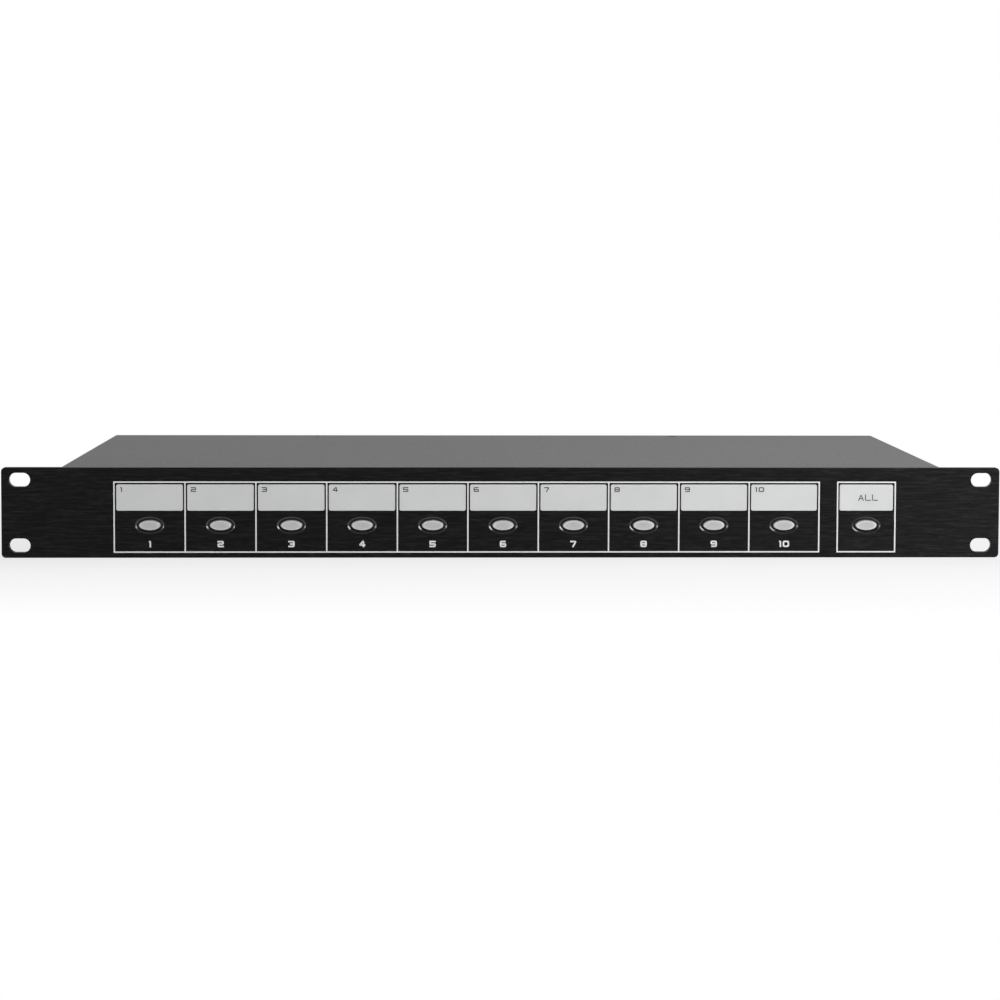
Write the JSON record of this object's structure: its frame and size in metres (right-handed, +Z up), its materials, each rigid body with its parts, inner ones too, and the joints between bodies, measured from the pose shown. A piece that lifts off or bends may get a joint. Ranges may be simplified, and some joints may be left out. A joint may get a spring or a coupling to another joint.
{
  "type": "audio zone controller",
  "caption": "Flat rack-mount controller with a row of oval push buttons under pale label fields, for routing sound to zones of a building.",
  "frame": {"origin": "bottom of the body, midway between its sides and midway from the panel's front face to the rear wall", "axes": "+X to the right seen from the front, along the panel; +Y to the rear; +Z up"},
  "size_m": [0.4826, 0.1831, 0.0437],
  "materials": {
    "panel_black": "black anodised, brushed along its length",
    "label_pale": "pale grey, satin",
    "bezel_black": "black, glossy",
    "cap_white": "translucent white, satin",
    "plunger_black": "black, moulded",
    "switch_plastic": "dark grey, moulded",
    "dome_rubber": "grey silicone",
    "lamp_clear": "clear, glossy",
    "board_green": "green solder mask",
    "brass": "turned, plated",
    "steel": "zinc plated",
    "screw_black": "black zinc",
    "body_paint": "black powder coat, fine texture",
    "relay_plastic": "black, moulded",
    "chip_black": "black, moulded",
    "can_steel": "drawn steel can",
    "capacitor_sleeve": "dark shrink sleeve",
    "sink_aluminium": "black anodised extrusion",
    "connector_black": "black, moulded",
    "terminal_green": "green, moulded",
    "ribbon_grey": "grey insulation"
  },
  "bodies": {
    "chassis": {"front_panel": "panel_black", "zone_labels": "label_pale", "all_label": "label_pale", "button_bezels": "bezel_black", "panel_studs": "steel", "panel_nuts": "steel", "switch_housings": "switch_plastic", "switch_domes": "dome_rubber", "button_lamps": "lamp_clear", "switch_board": "board_green", "switch_board_spacers": "brass", "switch_board_screws": "steel", "base_tray": "body_paint", "top_cover": "body_paint", "cover_side_screws": "screw_black", "cover_rear_screws": "screw_black", "main_board": "board_green", "main_board_standoffs": "brass", "main_board_screws": "steel", "zone_relays": "relay_plastic", "relay_drivers": "chip_black", "control_chip": "chip_black", "crystal": "can_steel", "supply_capacitors": "capacitor_sleeve", "voltage_regulator": "chip_black", "regulator_heat_sink": "sink_aluminium", "dc_inlet": "connector_black", "zone_terminals": "terminal_green", "line_terminal": "terminal_green", "terminal_screws": "steel", "earth_screw": "steel", "earth_nut": "steel", "switch_board_header": "connector_black", "main_board_header": "connector_black", "ribbon_plugs": "connector_black", "ribbon_cable": "ribbon_grey"},
    "zone_1_key": {"zone_1_button": "cap_white", "zone_1_plunger": "plunger_black"},
    "zone_2_key": {"zone_2_button": "cap_white", "zone_2_plunger": "plunger_black"},
    "zone_3_key": {"zone_3_button": "cap_white", "zone_3_plunger": "plunger_black"},
    "zone_4_key": {"zone_4_button": "cap_white", "zone_4_plunger": "plunger_black"},
    "zone_5_key": {"zone_5_button": "cap_white", "zone_5_plunger": "plunger_black"},
    "zone_6_key": {"zone_6_button": "cap_white", "zone_6_plunger": "plunger_black"},
    "zone_7_key": {"zone_7_button": "cap_white", "zone_7_plunger": "plunger_black"},
    "zone_8_key": {"zone_8_button": "cap_white", "zone_8_plunger": "plunger_black"},
    "zone_9_key": {"zone_9_button": "cap_white", "zone_9_plunger": "plunger_black"},
    "zone_10_key": {"zone_10_button": "cap_white", "zone_10_plunger": "plunger_black"},
    "all_key": {"all_button": "cap_white", "all_plunger": "plunger_black"}
  },
  "joints": [
    {"name": "zone_1_press", "type": "slide", "parent": "chassis", "child": "zone_1_key", "axis": [0, 1, 0], "range_m": [0, 0.001], "stiffness_N_per_m": 300, "springref_m": -0.001, "deforming": ["switch_domes"]},
    {"name": "zone_2_press", "type": "slide", "parent": "chassis", "child": "zone_2_key", "axis": [0, 1, 0], "range_m": [0, 0.001], "stiffness_N_per_m": 300, "springref_m": -0.001, "deforming": ["switch_domes"]},
    {"name": "zone_3_press", "type": "slide", "parent": "chassis", "child": "zone_3_key", "axis": [0, 1, 0], "range_m": [0, 0.001], "stiffness_N_per_m": 300, "springref_m": -0.001, "deforming": ["switch_domes"]},
    {"name": "zone_4_press", "type": "slide", "parent": "chassis", "child": "zone_4_key", "axis": [0, 1, 0], "range_m": [0, 0.001], "stiffness_N_per_m": 300, "springref_m": -0.001, "deforming": ["switch_domes"]},
    {"name": "zone_5_press", "type": "slide", "parent": "chassis", "child": "zone_5_key", "axis": [0, 1, 0], "range_m": [0, 0.001], "stiffness_N_per_m": 300, "springref_m": -0.001, "deforming": ["switch_domes"]},
    {"name": "zone_6_press", "type": "slide", "parent": "chassis", "child": "zone_6_key", "axis": [0, 1, 0], "range_m": [0, 0.001], "stiffness_N_per_m": 300, "springref_m": -0.001, "deforming": ["switch_domes"]},
    {"name": "zone_7_press", "type": "slide", "parent": "chassis", "child": "zone_7_key", "axis": [0, 1, 0], "range_m": [0, 0.001], "stiffness_N_per_m": 300, "springref_m": -0.001, "deforming": ["switch_domes"]},
    {"name": "zone_8_press", "type": "slide", "parent": "chassis", "child": "zone_8_key", "axis": [0, 1, 0], "range_m": [0, 0.001], "stiffness_N_per_m": 300, "springref_m": -0.001, "deforming": ["switch_domes"]},
    {"name": "zone_9_press", "type": "slide", "parent": "chassis", "child": "zone_9_key", "axis": [0, 1, 0], "range_m": [0, 0.001], "stiffness_N_per_m": 300, "springref_m": -0.001, "deforming": ["switch_domes"]},
    {"name": "zone_10_press", "type": "slide", "parent": "chassis", "child": "zone_10_key", "axis": [0, 1, 0], "range_m": [0, 0.001], "stiffness_N_per_m": 300, "springref_m": -0.001, "deforming": ["switch_domes"]},
    {"name": "all_press", "type": "slide", "parent": "chassis", "child": "all_key", "axis": [0, 1, 0], "range_m": [0, 0.001], "stiffness_N_per_m": 300, "springref_m": -0.001, "deforming": ["switch_domes"]}
  ]
}
